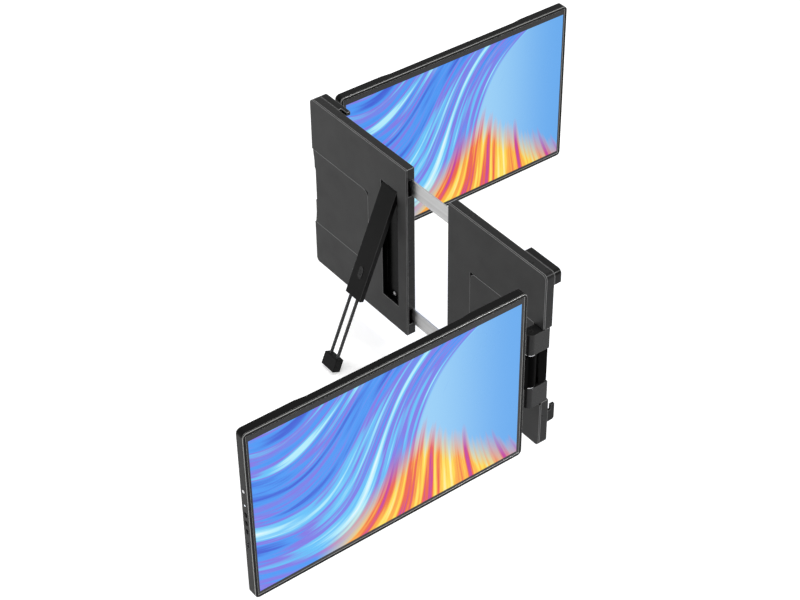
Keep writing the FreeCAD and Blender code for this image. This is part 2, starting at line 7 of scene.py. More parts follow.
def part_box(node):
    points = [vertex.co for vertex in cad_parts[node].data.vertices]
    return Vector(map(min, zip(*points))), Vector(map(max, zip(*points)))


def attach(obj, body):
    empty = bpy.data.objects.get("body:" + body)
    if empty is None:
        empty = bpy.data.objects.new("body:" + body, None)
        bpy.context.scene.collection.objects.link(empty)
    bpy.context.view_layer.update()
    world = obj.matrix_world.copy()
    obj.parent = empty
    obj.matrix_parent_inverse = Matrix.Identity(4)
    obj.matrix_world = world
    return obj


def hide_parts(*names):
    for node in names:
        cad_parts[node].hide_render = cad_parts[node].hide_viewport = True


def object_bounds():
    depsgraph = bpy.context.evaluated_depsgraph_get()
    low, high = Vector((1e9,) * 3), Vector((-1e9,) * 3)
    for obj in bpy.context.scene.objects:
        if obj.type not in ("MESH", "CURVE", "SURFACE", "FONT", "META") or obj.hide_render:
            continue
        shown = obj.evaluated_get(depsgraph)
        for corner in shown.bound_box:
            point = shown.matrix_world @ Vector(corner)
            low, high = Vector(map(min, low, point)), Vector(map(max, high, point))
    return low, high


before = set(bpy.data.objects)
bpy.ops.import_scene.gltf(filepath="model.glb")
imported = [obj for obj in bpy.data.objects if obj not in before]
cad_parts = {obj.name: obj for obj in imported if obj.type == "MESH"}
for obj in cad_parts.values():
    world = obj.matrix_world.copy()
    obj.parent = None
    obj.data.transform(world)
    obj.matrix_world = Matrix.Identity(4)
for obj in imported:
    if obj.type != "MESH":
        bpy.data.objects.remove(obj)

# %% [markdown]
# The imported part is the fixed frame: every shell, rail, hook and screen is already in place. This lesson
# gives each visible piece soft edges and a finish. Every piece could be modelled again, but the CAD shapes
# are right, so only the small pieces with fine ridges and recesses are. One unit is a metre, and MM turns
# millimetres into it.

MM = 0.001
cad_box = [list(corner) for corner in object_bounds()]
print("the part's box:", cad_box)

# %% [markdown]
# The camera looks down on the rear of the mount from the right. It could be aimed by eye, but it was fitted
# to the corners of the object in the photograph, so its place and its three axes are plain numbers.

# %% Camera
LENS_LENGTH, SENSOR_WIDTH = 86.57, 36
CAMERA_PLACE = (1.29305, -0.95134, 1.21782)
CAMERA_RIGHT = (0.60155, 0.79877, -0.01009)
CAMERA_UP = (-0.49920, 0.38574, 0.77589)
CAMERA_BACK = (0.62365, -0.46170, 0.63078)
lens = bpy.data.cameras.new("camera")
lens.sensor_width = SENSOR_WIDTH
lens.lens = LENS_LENGTH
lens.clip_end = 40
camera = bpy.data.objects.new("camera", lens)
bpy.context.collection.objects.link(camera)
turn = Matrix((CAMERA_RIGHT, CAMERA_UP, CAMERA_BACK)).transposed().to_4x4()
camera.matrix_world = Matrix.Translation(CAMERA_PLACE) @ turn
bpy.context.scene.camera = camera
print("camera at", CAMERA_PLACE)

# %% [markdown]
# Shader nodes are joined by code all through this lesson, so three helpers come first: for a sum of any
# kind, for a change of range, and for telling which rays see a thing directly. Nodes could be made one by
# one each time, but then every sum takes four lines.

# %% Node helpers
def maths(tree, operation, *values):
    """One math node; each value is a number or another node's output."""
    node = tree.nodes.new("ShaderNodeMath")
    node.operation = operation
    for socket, value in zip(node.inputs, values):
        if isinstance(value, (int, float)):
            socket.default_value = value
        else:
            tree.links.new(value, socket)
    return node.outputs["Value"]


def span(tree, value, low, high, new_low, new_high):
    """Stretches a value from one range to another."""
    node = tree.nodes.new("ShaderNodeMapRange")
    node.inputs["From Min"].default_value = low
    node.inputs["From Max"].default_value = high
    node.inputs["To Min"].default_value = new_low
    node.inputs["To Max"].default_value = new_high
    tree.links.new(value, node.inputs["Value"])
    return node.outputs["Result"]


def seen_directly(tree):
    """1 for a ray from the camera, from a reflection or through glass, and 0 for any other."""
    path = tree.nodes.new("ShaderNodeLightPath")
    seen = maths(tree, "MAXIMUM", path.outputs["Is Camera Ray"], path.outputs["Is Glossy Ray"])
    return maths(tree, "MAXIMUM", seen, path.outputs["Is Transmission Ray"])


print("node helpers ready")

# %% [markdown]
# The world is a plain even white. Where the camera or a reflection sees it, it is at full strength, so the
# backdrop is white and gloss shows. As a light it is weaker, which leaves room for the lamps' own shading.

# %% World
WORLD_LIGHT, WORLD_SEEN = 0.55, 1.0
scene = bpy.context.scene
scene.view_settings.view_transform = "Standard"
world = bpy.data.worlds.new("studio")
scene.world = world
world.use_nodes = True
sky_tree = world.node_tree
background = sky_tree.nodes["Background"]
background.inputs["Color"].default_value = (1, 1, 1, 1)
strength = span(sky_tree, seen_directly(sky_tree), 0, 1, WORLD_LIGHT, WORLD_SEEN)
sky_tree.links.new(strength, background.inputs["Strength"])
print("world:", world.name)

# %% [markdown]
# Three area lamps: a large soft one above, a low one before the mount's rear face, which stays out of the
# reflections, and a small one that glints along the rounded edges between top and side. One lamp could
# light it all, but then the rear face and the tops would have the same grey.

# %% Lamps
def soft_lamp(name, place, aim, size, power):
    """A square lamp turned towards a point."""
    bpy.ops.object.light_add(type="AREA", location=place)
    lamp = bpy.context.active_object
    lamp.name = name
    lamp.data.size = size
    lamp.data.energy = power
    lamp.rotation_euler = (Vector(aim) - Vector(place)).to_track_quat("-Z", "Y").to_euler()
    return lamp


soft_lamp("lamp_above", (0.2, -0.2, 2.0), (0.06, 0, 0), 1.6, 16)
low_lamp = soft_lamp("lamp_left", (-1.3, -1.5, 0.9), (0, 0, 0), 1.2, 16)
low_lamp.visible_glossy = False
soft_lamp("lamp_glint", (1.75, 1.15, 1.6), (0.2, 0, 0), 0.3, 22)
print("lamps:", len(bpy.data.lights))

# %% [markdown]
# Small tools. Each operator acts on all that is selected, so everything is deselected first. Faces and
# edges could be picked by number, but a test of their place says what is meant and holds when the numbers
# change.

# %% Tools for choosing
def alone(obj):
    """Makes the object the only selected one, and the active one."""
    bpy.ops.object.select_all(action="DESELECT")
    obj.select_set(True)
    bpy.context.view_layer.objects.active = obj


def edit(obj, kind="FACE"):
    """Enters edit mode on one object, with none of its faces or edges selected."""
    alone(obj)
    bpy.ops.object.mode_set(mode="EDIT")
    bpy.ops.mesh.select_mode(type=kind)
    bpy.ops.mesh.select_all(action="DESELECT")


def leave():
    bpy.ops.object.mode_set(mode="OBJECT")


def pick_faces(obj, wanted):
    """Stays in edit mode with the faces whose centre and normal pass the test, and counts them."""
    edit(obj)
    mesh = bmesh.from_edit_mesh(obj.data)
    count = 0
    for face in mesh.faces:
        if wanted(face.calc_center_median(), face.normal):
            face.select_set(True)
            count += 1
    bmesh.update_edit_mesh(obj.data)
    return count


def pick_edges(obj, wanted):
    """Stays in edit mode with the edges whose two ends pass the test."""
    edit(obj, "EDGE")
    mesh = bmesh.from_edit_mesh(obj.data)
    for edge in mesh.edges:
        if wanted(*(vertex.co for vertex in edge.verts)):
            edge.select_set(True)
    bmesh.update_edit_mesh(obj.data)


print("tools for choosing ready")

# %% [markdown]
# Tools for shaping: a block, a disc and a cut across a piece. They could be replaced by lists of points, but
# primitives and operators are the steps that a reader can redo by hand in Blender.

# %% Tools for shaping
def settle(obj):
    """Puts the piece's place into its mesh, so that the object itself sits at the origin."""
    alone(obj)
    bpy.ops.object.transform_apply(location=True, rotation=True, scale=True)


def block(name, centre, size, material):
    """A box; its centre and size are in millimetres."""
    bpy.ops.object.select_all(action="DESELECT")
    bpy.ops.mesh.primitive_cube_add(size=1, location=[value * MM for value in centre])
    obj = bpy.context.active_object
    obj.name = name
    obj.scale = [value * MM for value in size]
    settle(obj)
    obj.data.materials.append(material)
    return obj


def disc(name, centre, radius, depth, sides, material):
    """A round cylinder along Y; its sizes are in millimetres."""
    bpy.ops.object.select_all(action="DESELECT")
    bpy.ops.mesh.primitive_cylinder_add(vertices=sides, radius=radius * MM, depth=depth * MM,
                                        rotation=(math.radians(90), 0, 0),
                                        location=[value * MM for value in centre])
    obj = bpy.context.active_object
    obj.name = name
    settle(obj)
    obj.data.materials.append(material)
    return obj


def cut_across(obj, place, normal):
    """Cuts the whole mesh along a plane and keeps both sides."""
    edit(obj)
    bpy.ops.mesh.select_all(action="SELECT")
    bpy.ops.mesh.bisect(plane_co=place, plane_no=normal)
    leave()


print("tools for shaping ready")

# %% [markdown]
# No edge on the real object is quite sharp. Each could be bevelled by hand, but a bevel modifier finds all the
# sharp ones at once. `finish` then says which body the piece rides on and which CAD nodes it stands for, and
# `repaint` serves the nodes whose mesh stays.

# %% Soft edges and finish
def bevelled(obj, width, segments=2, angle=35, edge_slot=-1):
    """Rounds the sharp edges, and keeps the flat faces flat by weighting the normals by area."""
    alone(obj)
    soft = obj.modifiers.new("soft edges", "BEVEL")
    # The bevel faces take the material in this slot; on most pieces it is a lighter edge material, a painted
    # highlight.
    soft.material = edge_slot
    soft.width = width
    soft.segments = segments
    soft.limit_method = "ANGLE"
    soft.angle_limit = math.radians(angle)
    soft.use_clamp_overlap = True
    bpy.ops.object.modifier_apply(modifier=soft.name)
    bpy.ops.object.shade_smooth_by_angle(angle=math.radians(40))
    weight = obj.modifiers.new("flat faces", "WEIGHTED_NORMAL")
    weight.keep_sharp = True
    bpy.ops.object.modifier_apply(modifier=weight.name)


def finish(obj, body, slot, *nodes):
    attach(obj, body)
    if nodes:
        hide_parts(*nodes)
    return obj


def repaint(name, material):
    """Gives a CAD node its finish and leaves its mesh alone."""
    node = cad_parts[name]
    node.data.materials.clear()
    node.data.materials.append(material)


print("soft edges and finish ready")

# %% [markdown]
# Moulded plastic has a fine spark-eroded grain and is never one even colour. Each material could have its
# own noises, but the effect is shared, so it is one node group with named inputs. It puts out a height for
# the grain, a cloudy shade for the colour, and a mask of where hands have rubbed.

# %% Group: moulded grain
def new_group(name, inputs, outputs):
    group = bpy.data.node_groups.new(name, "ShaderNodeTree")
    for label, kind, value in inputs:
        socket = group.interface.new_socket(label, in_out="INPUT", socket_type=kind)
        if value is not None:
            socket.default_value = value
    for label, kind in outputs:
        group.interface.new_socket(label, in_out="OUTPUT", socket_type=kind)
    return group, group.nodes.new("NodeGroupInput"), group.nodes.new("NodeGroupOutput")


def noise(tree, place, scale, detail=2.0, stretch=None):
    """A noise on a place vector; the scale is a number or a socket, stretch squeezes it along axes."""
    texture = tree.nodes.new("ShaderNodeTexNoise")
    texture.inputs["Detail"].default_value = detail
    if stretch:
        mapping = tree.nodes.new("ShaderNodeMapping")
        mapping.inputs["Scale"].default_value = stretch
        tree.links.new(place, mapping.inputs["Vector"])
        place = mapping.outputs["Vector"]
    tree.links.new(place, texture.inputs["Vector"])
    if isinstance(scale, (int, float)):
        texture.inputs["Scale"].default_value = scale
    else:
        tree.links.new(scale, texture.inputs["Scale"])
    return texture.outputs["Fac"]


grain, given, made = new_group(
    "moulded_grain",
    [("Place", "NodeSocketVector", None), ("Grain Scale", "NodeSocketFloat", 2500.0)],
    [("Height", "NodeSocketFloat"), ("Shade", "NodeSocketFloat"), ("Rubbed", "NodeSocketFloat")])
fine = noise(grain, given.outputs["Place"], given.outputs["Grain Scale"], 3.0)
cloudy = noise(grain, given.outputs["Place"], 14.0, 3.0)
worn = noise(grain, given.outputs["Place"], 45.0, 6.0)
grain.links.new(fine, made.inputs["Height"])
grain.links.new(span(grain, cloudy, 0.3, 0.7, 0.9, 1.1), made.inputs["Shade"])
grain.links.new(span(grain, worn, 0.35, 0.75, 0.0, 1.0), made.inputs["Rubbed"])
print("group:", grain.name)

# %% [markdown]
# One function makes every moulded plastic and rubber. The colour is darkened and lightened a little by the
# cloudy shade, the roughness falls where the mask is rubbed, and the fine grain goes to a bump. The grain
# could be real relief, but it is a tenth of a millimetre deep at most, so a bump is enough.

# %% Moulded plastic
RELIEF = 0.1 * MM
RUBBED_GLOSS = 0.08


def principled(name):
    """A new material with its shader, and the place on the object that drives its textures."""
    material = bpy.data.materials.new(name)
    material.use_nodes = True
    shader = material.node_tree.nodes["Principled BSDF"]
    place = material.node_tree.nodes.new("ShaderNodeTexCoord").outputs["Object"]
    return material, material.node_tree, shader, place


def bump(tree, shader, height, strength):
    node = tree.nodes.new("ShaderNodeBump")
    node.inputs["Strength"].default_value = strength
    node.inputs["Distance"].default_value = RELIEF
    tree.links.new(height, node.inputs["Height"])
    tree.links.new(node.outputs["Normal"], shader.inputs["Normal"])


def shaded(tree, shader, colour, factor):
    """The colour times a changing factor."""
    node = tree.nodes.new("ShaderNodeVectorMath")
    node.operation = "SCALE"
    node.inputs[0].default_value = colour
    tree.links.new(factor, node.inputs["Scale"])
    tree.links.new(node.outputs["Vector"], shader.inputs["Base Color"])


def moulded(name, level, rough, grain_scale=2500.0, strength=0.25, shine=0.3, sheen=0.0):
    """A plastic; its colour is one level for a grey, or three."""
    colour = level if isinstance(level, tuple) else (level, level, level)
    material, tree, shader, place = principled(name)
    node = tree.nodes.new("ShaderNodeGroup")
    node.node_tree = grain
    node.inputs["Grain Scale"].default_value = grain_scale
    tree.links.new(place, node.inputs["Place"])
    shaded(tree, shader, colour, node.outputs["Shade"])
    tree.links.new(span(tree, node.outputs["Rubbed"], 0, 1, rough, rough - RUBBED_GLOSS),
                   shader.inputs["Roughness"])
    bump(tree, shader, node.outputs["Height"], strength)
    shader.inputs["Specular IOR Level"].default_value = shine
    shader.inputs["Sheen Weight"].default_value = sheen
    return material


print("moulded plastic ready")

# %% [markdown]
# The finishes themselves. Nearly everything on the object is black plastic, so the eye tells the pieces
# apart by small steps of grey and gloss. Each shell also has a painted highlight on its edges: a lighter,
# glossier edge material on the bevels, for the thin line of light that a moulding's edge catches. It could
# come from the lamps alone, but the edges are too narrow.

# %% Moulded finishes
casing = moulded("casing_plastic", 0.022, 0.50, shine=0.14)
casing_side = moulded("casing_front", 0.012, 0.30, shine=0.12)
casing_edge_highlight = moulded("casing_edge_highlight", 0.17, 0.28, shine=0.4)
hook_black = moulded("hook_plastic", 0.004, 0.22, shine=0.10)
hook_edge_highlight = moulded("hook_edge_highlight", 0.045, 0.18, shine=0.7)
screen_black = moulded("screen_plastic", 0.005, 0.27, 3200.0, 0.15, 0.05)
frame_edge_highlight = moulded("frame_edge_highlight", (0.30, 0.30, 0.29), 0.20, 3200.0, 0.1, 0.8)
bezel_black = moulded("bezel_plastic", 0.006, 0.28, 3200.0, 0.12, 0.07)
leg_black = moulded("leg_plastic", 0.006, 0.36, 3000.0, 0.2, 0.06)
leg_edge_highlight = moulded("leg_edge_highlight", 0.045, 0.24, 3000.0, 0.1, 0.4)
button_black = moulded("button_plastic", 0.004, 0.25, 3600.0, 0.1, 0.2)
foot_rubber = moulded("foot_rubber", 0.006, 0.60, 1600.0, 0.5, 0.07, 0.05)
# The well is nearly black with almost no gloss: partly its own black plastic, partly painted shade of the deep
# recess.
well_black_and_shade = moulded("well_plastic_and_shade", 0.002, 0.25, shine=0.03)
arm_black = moulded("hinge_paint", 0.012, 0.30, 1800.0, 0.3, 0.2)
# Near-black with almost no gloss, for the hinge arms and the block between the knuckles: painted shade of the
# recess there.
recess_shade_black = moulded("hinge_recess_painted_shade", 0.001, 0.4, 1800.0, 0.3, 0.01)
# The keys are nearly black with almost no gloss: partly their own black plastic, partly painted shade of the
# pits they sit in.
key_black_and_shade = moulded("key_plastic", 0.001, 0.35, 3600.0, 0.1, 0.02)
board_green = moulded("board_mask", (0.01, 0.09, 0.035), 0.45, 900.0, 0.4)
print("moulded finishes:", len(bpy.data.materials))

# %% [markdown]
# Metals. Rolled and brushed steel has very long fine scratches along one axis, so the noise is squeezed
# along it. The stand's rods are blackened and have fine turned rings. Rings could be modelled as grooves,
# but a wave along the rods' own length, tilted as the leg is, takes no triangles. The same wave lightens
# the rods' colour in bands: a painted highlight on each ring.

# %% Metal finishes
LEG_TILT = 23
RING_SCALE = 190.0


def rings_along(tree, place, tilt):
    mapping = tree.nodes.new("ShaderNodeMapping")
    mapping.inputs["Rotation"].default_value = (math.radians(tilt), 0, 0)
    tree.links.new(place, mapping.inputs["Vector"])
    rings = tree.nodes.new("ShaderNodeTexWave")
    rings.bands_direction = "Z"
    rings.inputs["Scale"].default_value = RING_SCALE
    tree.links.new(mapping.outputs["Vector"], rings.inputs["Vector"])
    return rings.outputs["Fac"]


def metal(name, colour, rough, stretch, depth=0.15, metallic=1.0, ringed=False):
    material, tree, shader, place = principled(name)
    shader.inputs["Metallic"].default_value = metallic
    scratches = noise(tree, place, 60.0, 4.0, stretch)
    tree.links.new(span(tree, scratches, 0.3, 0.7, rough, rough + 0.12), shader.inputs["Roughness"])
    if ringed:
        # The rings lighten and darken the colour in bands, a painted highlight on each ring, as well as
        # driving the bump.
        height = rings_along(tree, place, LEG_TILT)
        tone_and_ring_glint = span(tree, height, 0.4, 0.9, 0.2, 6.0)
    else:
        height = scratches
        tone_and_ring_glint = span(tree, scratches, 0.3, 0.7, 0.86, 1.1)
    shaded(tree, shader, colour, tone_and_ring_glint)
    bump(tree, shader, height, depth)
    return material


rail_steel = metal("rail_steel", (0.43, 0.43, 0.43), 0.30, (0.03, 6, 6))
bright_steel = metal("bright_steel", (0.60, 0.60, 0.61), 0.22, (4, 4, 4))
panel_metal = metal("panel_sheet", (0.5, 0.5, 0.5), 0.4, (4, 0.1, 4))
rod_black = metal("rod_black", (0.020, 0.020, 0.021), 0.26, (4, 4, 4), depth=1.0, metallic=0.0,
                  ringed=True)
rod_black.node_tree.nodes["Principled BSDF"].inputs["Specular IOR Level"].default_value = 0.12
print("metals ready")

# %% [markdown]
# The displays show a made-up picture in the colours of the photograph: a pale sky, long ribbons of light
# that fan out from one corner, and a warm glow at the foot. An image could be put there, but a drawing made
# of nodes needs no file and stays sharp. U runs from 0 at the picture's left edge to 1 at its right, V from
# 0 at its foot.

# %% Group: the picture's fan
picture, given, made = new_group(
    "ribbon_picture", [("U", "NodeSocketFloat", 0.0), ("V", "NodeSocketFloat", 0.0)],
    [("Picture", "NodeSocketColor")])
FAN_U, FAN_V = 1.12, 1.25
HEIGHT_SHARE = 0.62
across, upward = given.outputs["U"], given.outputs["V"]
# How far round the corner (FAN_U, FAN_V), and how far out from it. The angle sways a little with the reach.
side_way = maths(picture, "SUBTRACT", FAN_U, across)
down_way = maths(picture, "MULTIPLY", maths(picture, "SUBTRACT", FAN_V, upward), HEIGHT_SHARE)
angle = maths(picture, "ARCTAN2", down_way, side_way)
squares = maths(picture, "ADD", maths(picture, "MULTIPLY", side_way, side_way),
                maths(picture, "MULTIPLY", down_way, down_way))
reach = maths(picture, "SQRT", squares)
sway = maths(picture, "SINE", maths(picture, "MULTIPLY", reach, 4.6))
bend = maths(picture, "MULTIPLY_ADD", sway, 0.22, angle)
fan = picture.nodes.new("ShaderNodeCombineXYZ")
picture.links.new(bend, fan.inputs["X"])
picture.links.new(reach, fan.inputs["Y"])
threads = noise(picture, fan.outputs["Vector"], 1.0, 5.0, (26, 1.6, 1))
folds = noise(picture, fan.outputs["Vector"], 1.0, 2.0, (7, 1.1, 1))
print("fan nodes:", len(picture.nodes))

# %% [markdown]
# The fan's two noises, fine threads and broad folds, give the ribbons their light and dark. Colour ramps
# turn them into blues, and the same threads into the warm glow. Each part is laid over the last with a
# mask.

# %% Group: the picture's colours
def ramp(tree, value, stops):
    node = tree.nodes.new("ShaderNodeValToRGB")
    node.color_ramp.interpolation = "EASE"
    while len(node.color_ramp.elements) < len(stops):
        node.color_ramp.elements.new(0.5)
    for element, (position, colour) in zip(node.color_ramp.elements, stops):
        element.position = position
        element.color = (*colour, 1)
    tree.links.new(value, node.inputs["Fac"])
    return node.outputs["Color"]


def mixed(tree, share, first, second):
    node = tree.nodes.new("ShaderNodeMix")
    node.data_type = "RGBA"
    tree.links.new(share, node.inputs["Factor"])
    tree.links.new(first, node.inputs["A"])
    tree.links.new(second, node.inputs["B"])
    return node.outputs["Result"]


silk = maths(picture, "ADD", maths(picture, "MULTIPLY", threads, 0.5), maths(picture, "MULTIPLY", folds, 0.6))
ribbons = ramp(picture, silk, [
    (0.36, (0.01, 0.02, 0.32)), (0.44, (0.02, 0.09, 0.68)), (0.51, (0.04, 0.30, 0.92)),
    (0.56, (0.20, 0.16, 0.78)), (0.61, (0.10, 0.52, 0.95)), (0.67, (0.45, 0.85, 0.98)),
    (0.74, (0.97, 0.99, 1.0))])
sky = ramp(picture, across, [(0.0, (0.47, 0.76, 0.94)), (0.6, (0.30, 0.62, 0.93)), (1.0, (0.10, 0.38, 0.85))])
fan_edge = maths(picture, "MULTIPLY_ADD", folds, 0.5, bend)
painted = mixed(picture, span(picture, fan_edge, 1.02, 0.98, 0.0, 1.0), sky, ribbons)
from_glow = maths(picture, "ABSOLUTE", maths(picture, "SUBTRACT", across, 0.62))
glow_size = maths(picture, "ADD", maths(picture, "MULTIPLY", from_glow, 1.25), upward)
glow_edge = maths(picture, "MULTIPLY_ADD", threads, 0.42, glow_size)
warm = ramp(picture, threads, [
    (0.34, (0.55, 0.02, 0.30)), (0.42, (0.85, 0.10, 0.03)), (0.50, (0.98, 0.40, 0.02)),
    (0.58, (1.0, 0.72, 0.05)), (0.68, (1.0, 0.93, 0.45))])
painted = mixed(picture, span(picture, glow_edge, 0.76, 0.56, 0.0, 1.0), painted, warm)
picture.links.new(painted, made.inputs["Picture"])
print("picture nodes:", len(picture.nodes))

# %% [markdown]
# Each screen is one sheet of glass, black at its border and lit inside it. The picture goes to the
# emission, since a display makes its own light, and the glass's own gloss gives the reflections. The lit
# area could be a second sheet, but a mask made from the glass's box keeps it one piece, as on the real
# object.

# %% Lit glass
SIDE_BEZEL, TOP_BEZEL, LOW_BEZEL, FREE_BEZEL = 6.6 * MM, 9.8 * MM, 7.1 * MM, 5.3 * MM
RIM = 3.8 * MM
LIT_SKIN = 0.2 * MM


def lit_glass(name, flipped):
    """Lights one glass; the flipped one has its hinge on the side of low Y."""
    low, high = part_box(name)
    material, tree, shader, place = principled(name + "_lit")
    axes = tree.nodes.new("ShaderNodeSeparateXYZ")
    tree.links.new(place, axes.inputs["Vector"])
    low_bezel, high_bezel = (SIDE_BEZEL, FREE_BEZEL) if flipped else (FREE_BEZEL, SIDE_BEZEL)
    near_y, far_y = low.y + low_bezel - RIM, high.y - high_bezel + RIM
    foot, head = low.z + LOW_BEZEL - RIM, high.z - TOP_BEZEL + RIM
    drawing = tree.nodes.new("ShaderNodeGroup")
    drawing.node_tree = picture
    tree.links.new(span(tree, axes.outputs["Y"], near_y, far_y, 0.0, 1.0), drawing.inputs["U"])
    tree.links.new(span(tree, axes.outputs["Z"], foot, head, 0.0, 1.0), drawing.inputs["V"])
    # Only the front face inside the border is lit.
    inside = maths(tree, "GREATER_THAN", axes.outputs["Y"], near_y)
    for axis, test, limit in (("Y", "LESS_THAN", far_y), ("Z", "GREATER_THAN", foot),
                              ("Z", "LESS_THAN", head), ("X", "GREATER_THAN", high.x - LIT_SKIN)):
        inside = maths(tree, "MULTIPLY", inside, maths(tree, test, axes.outputs[axis], limit))
    lit = tree.nodes.new("ShaderNodeVectorMath")
    lit.operation = "SCALE"
    tree.links.new(drawing.outputs["Picture"], lit.inputs[0])
    tree.links.new(inside, lit.inputs["Scale"])
    tree.links.new(lit.outputs["Vector"], shader.inputs["Emission Color"])
    shader.inputs["Emission Strength"].default_value = 0.94
    smears = noise(tree, place, 30.0, 4.0)
    tree.links.new(span(tree, smears, 0.35, 0.7, 0.20, 0.30), shader.inputs["Roughness"])
    shader.inputs["Base Color"].default_value = (0.006, 0.006, 0.007, 1)
    shader.inputs["Specular IOR Level"].default_value = 0.3
    repaint(name, material)
    return far_y - near_y, head - foot


print("lit area of the near screen:", lit_glass("near_glass", False))
print("lit area of the far screen:", lit_glass("far_glass", True))

# %% [markdown]
# The shells of the part are right in shape, but a real moulding has no sharp edge. They could be modelled
# again, but it is safer to copy each visible node, merge its loose triangles into clean faces, and give its
# edges a small round. The copy rides on the same body and stands for the node.

# %% Softened shells
def softened(node, body, slot, width, material, edge=None):
    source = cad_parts[node]
    copy = bpy.data.objects.new(node + "_soft", source.data.copy())
    bpy.context.collection.objects.link(copy)
    copy.data.materials.clear()
    copy.data.materials.append(material)
    # The second slot is the edge material, on most shells a lighter one: a painted highlight along the bevels.
    copy.data.materials.append(edge or material)
    alone(copy)
    bpy.ops.object.mode_set(mode="EDIT")
    bpy.ops.mesh.select_all(action="SELECT")
    bpy.ops.mesh.remove_doubles(threshold=0.002 * MM)
    bpy.ops.mesh.dissolve_limited(angle_limit=math.radians(0.5))
    leave()
    bevelled(copy, width * MM, edge_slot=1)
    return finish(copy, body, slot, node)


# Node, body, material slot, width of the round in millimetres, finish, material of the edges (on most shells a
# painted highlight).
MOULDED = [
    ("left_rear_cover", "left_half", "casing_plastic", 0.3, casing, casing_edge_highlight),
    ("left_front_shell", "left_half", "casing_plastic", 0.4, casing_side, casing_edge_highlight),
    ("left_top_hook", "left_half", "hook_plastic", 0.8, hook_black, hook_edge_highlight),
    ("left_hinge_bracket", "left_half", "hinge_metal", 0.6, arm_black, hook_edge_highlight),
    ("stand_well", "left_half", "casing_plastic", 0.25, well_black_and_shade, leg_edge_highlight),
    ("right_rear_cover", "right_half", "casing_plastic", 0.3, casing, casing_edge_highlight),
    ("right_hinge_plate", "right_half", "casing_plastic", 0.3, casing, casing_edge_highlight),
    ("right_front_shell", "right_half", "casing_plastic", 0.4, casing_side, casing_edge_highlight),
    ("right_top_hook", "right_half", "hook_plastic", 0.8, hook_black, hook_edge_highlight),
    ("right_hinge_bracket", "right_half", "hinge_metal", 0.6, arm_black, hook_edge_highlight),
    ("lower_rail", "right_half", "rail_steel", 0.15, rail_steel, rail_steel),
    ("upper_rail", "right_half", "rail_steel", 0.15, rail_steel, rail_steel),
    ("stand_leg", "stand_leg", "leg_plastic", 0.5, leg_black, leg_edge_highlight),
]
# The hinge arms take the same near-black as the block between the knuckles: painted shade of the recess.
for kind, *rest in (("back_cover", "screen_plastic", 0.6, screen_black, leg_edge_highlight),
                    ("front_frame", "screen_plastic", 0.45, bezel_black, frame_edge_highlight),
                    ("hinge_arm", "hinge_metal", 0.5, recess_shade_black, recess_shade_black)):
    for side in ("near", "far"):
        MOULDED.append((side + "_" + kind, side + "_screen", *rest))
for row in MOULDED:
    piece = softened(*row)
    print(piece.name, len(piece.data.polygons), "faces")

# %% [markdown]
# The left hinge plate reaches almost to the mount's outer end and steps in a little beside the arm. It
# could be drawn as an outline and extruded, but a thin block is quicker: it is cut at two heights, the
# middle of its outer side is pushed in, and the two inner corners get a large round.

# %% Left hinge plate
STEP_FOOT, STEP_HEAD, STEP_DEPTH = -24.5 * MM, 16.5 * MM, 3.3 * MM
INNER_SIDE, CORNER_ROUND = -31 * MM, 8 * MM
plate = block("left_hinge_plate_full", (-80.275, -10.7, -4.5), (99.25, 1.8, 96.7), casing)
plate.data.materials.append(casing_edge_highlight)
for height in (STEP_FOOT, STEP_HEAD):
    cut_across(plate, (0, 0, height), (0, 0, 1))
pick_faces(plate, lambda centre, normal: normal.x < -0.9 and STEP_FOOT < centre.z < STEP_HEAD)
bpy.ops.transform.translate(value=(STEP_DEPTH, 0, 0))
leave()
pick_edges(plate, lambda one, other: min(one.x, other.x) > INNER_SIDE and abs(one.z) > 40 * MM
           and abs(one.z - other.z) < 1e-6 and abs(one.y - other.y) > MM)
bpy.ops.mesh.bevel(offset=CORNER_ROUND, segments=10)
leave()
bevelled(plate, 0.3 * MM, edge_slot=1)
finish(plate, "left_half", "casing_plastic", "left_hinge_plate")
print("plate faces:", len(plate.data.polygons))

# %% [markdown]
# Between the right half's two knuckles, behind the arm's barrel, lies a deep recess in shade. A block with
# almost no gloss and a near-black colour stands there: painted shade. A boolean with a cylinder could hollow
# it, but its trough is so shallow that an inset pushed back looks the same.

# %% Painted shade between the knuckles
shade_block = block("right_hinge_shade_block", (244.3, -9.2, -3.7), (12.4, 10.8, 39.4), recess_shade_black)
pick_faces(shade_block, lambda centre, normal: normal.y < -0.9)
bpy.ops.mesh.inset(thickness=2 * MM)
bpy.ops.transform.translate(value=(0, MM, 0))
leave()
bevelled(shade_block, 0.5 * MM)
finish(shade_block, "right_half", "hinge_metal")
print("core faces:", len(shade_block.data.polygons))

# %% [markdown]
# Low on each outer end a thin J-shaped hook holds the lid. It could be a bent strip, but three steps on a
# small block give its square inside corner: a cut across, an extrusion of the top beyond the cut into the
# lip, and a bevel on the lower outer corner.

# %% Lower hooks
HOOK_THICK, LIP_HEIGHT, LIP_INNER, HOOK_CORNER = 3.2, 6.2 * MM, 3.2 * MM, 3 * MM


def j_hook(name, middle_x, body, node):
    hook = block(name, (middle_x, 3.6, -73.4), (HOOK_THICK, 8.4, 14.2), hook_black)
    hook.data.materials.append(hook_edge_highlight)
    cut_across(hook, (0, LIP_INNER, 0), (0, 1, 0))
    pick_faces(hook, lambda centre, normal: normal.z > 0.9 and centre.y > LIP_INNER)
    bpy.ops.mesh.extrude_region_move(TRANSFORM_OT_translate={"value": (0, 0, LIP_HEIGHT)})
    leave()
    pick_edges(hook, lambda *ends: all(end.y > 7.7 * MM and end.z < -80 * MM for end in ends))
    bpy.ops.mesh.bevel(offset=HOOK_CORNER, segments=3)
    leave()
    bevelled(hook, 0.35 * MM, edge_slot=1)
    return finish(hook, body, "hook_plastic", node)


